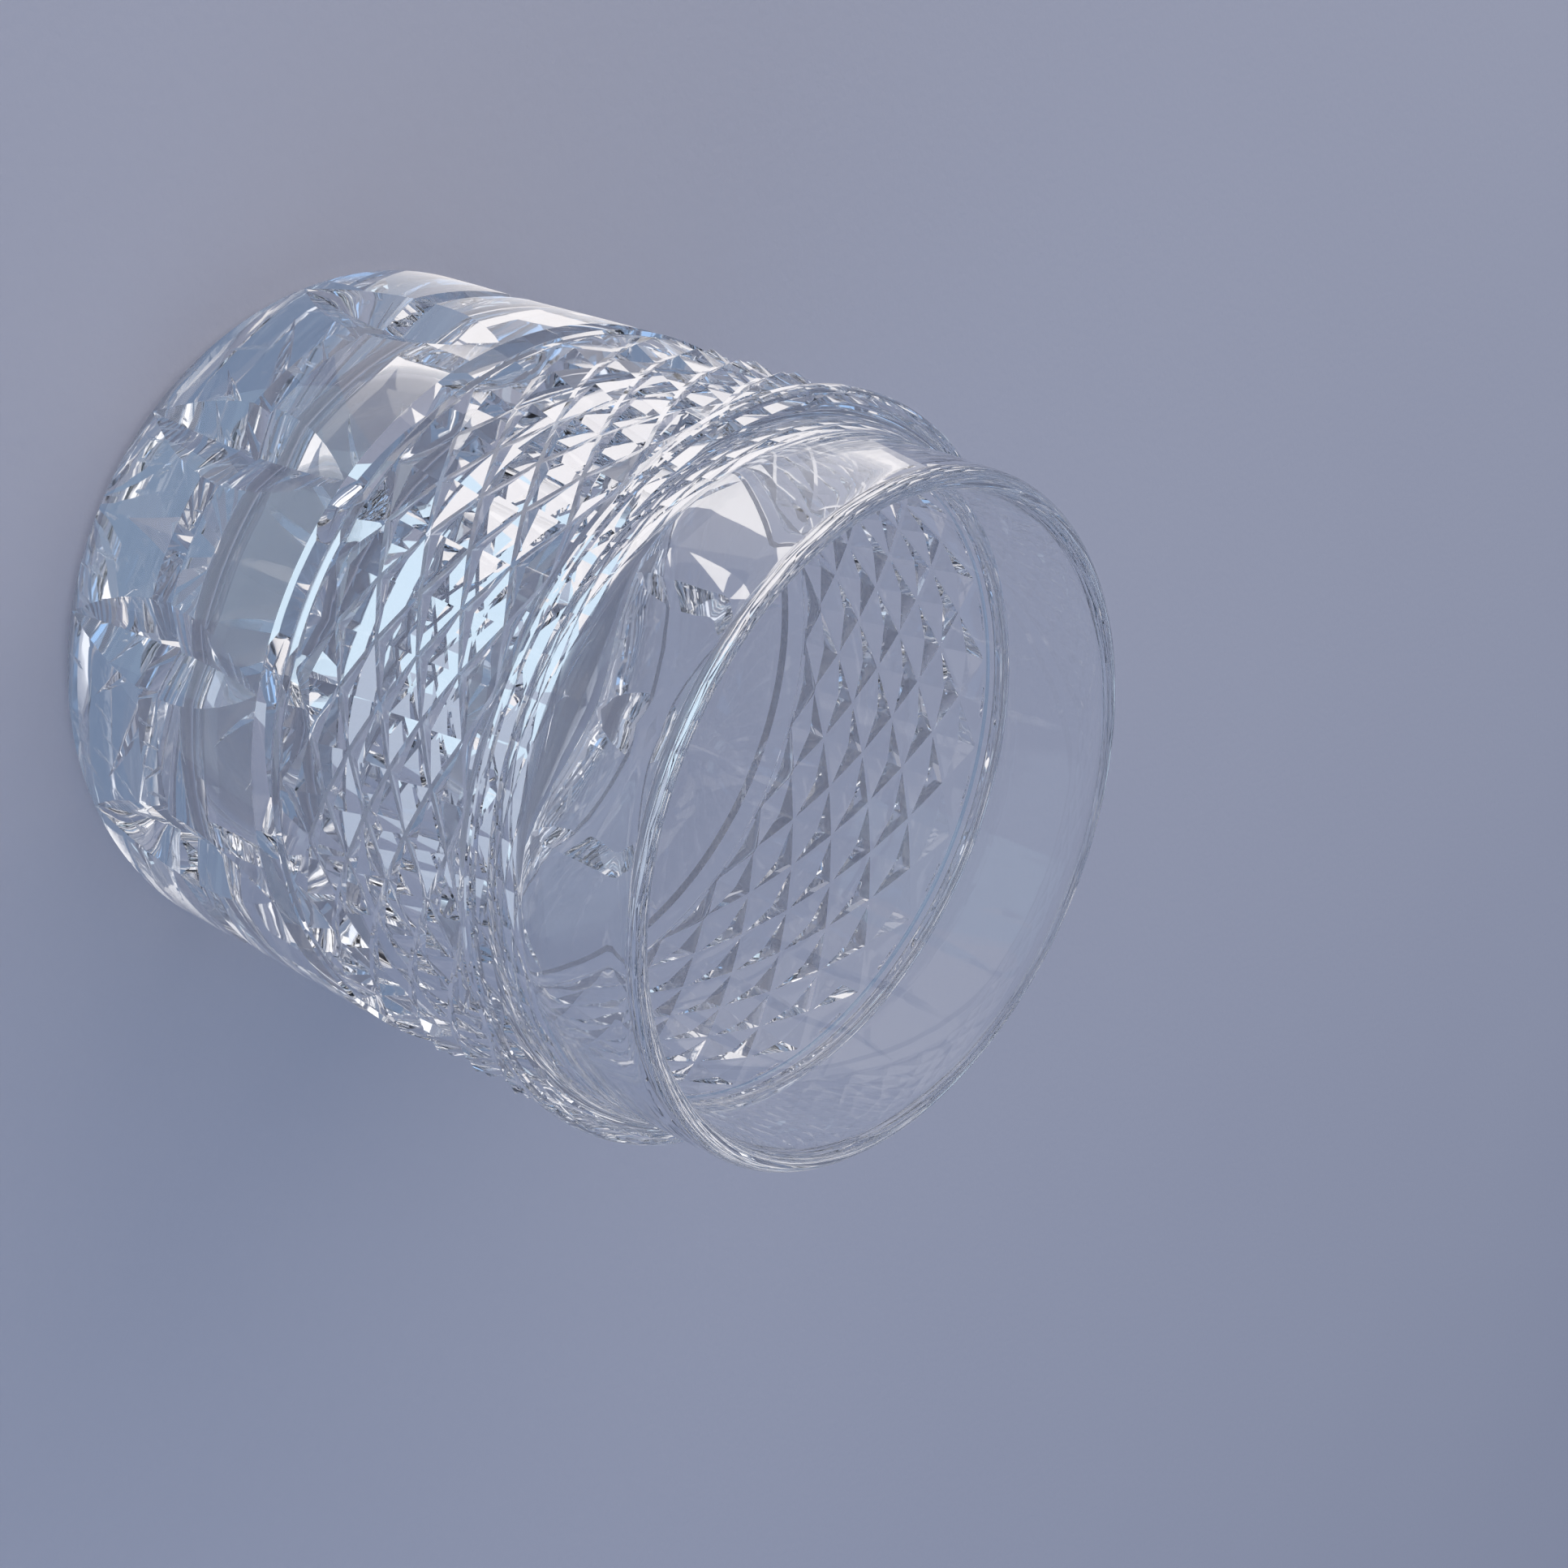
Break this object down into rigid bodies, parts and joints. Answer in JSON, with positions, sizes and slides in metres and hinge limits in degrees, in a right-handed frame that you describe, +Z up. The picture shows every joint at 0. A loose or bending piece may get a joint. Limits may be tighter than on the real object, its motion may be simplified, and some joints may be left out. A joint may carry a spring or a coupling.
{
  "type": "whiskey tumbler",
  "caption": "Heavy cut-crystal whiskey tumbler with upright mitre cuts, ring cuts, a raised diamond band, a stepped shoulder and a plain thin lip.",
  "frame": {"origin": "centre of the flat resting face, on the surface the tumbler stands on", "axes": "+Z up the tumbler's own axis from the base to the rim; the plain wall between two mitre cuts faces -Y"},
  "size_m": [0.084, 0.084, 0.087],
  "materials": {
    "crystal": "polished"
  },
  "bodies": {
    "root": {"tumbler_glass": "crystal"}
  },
  "joints": []
}
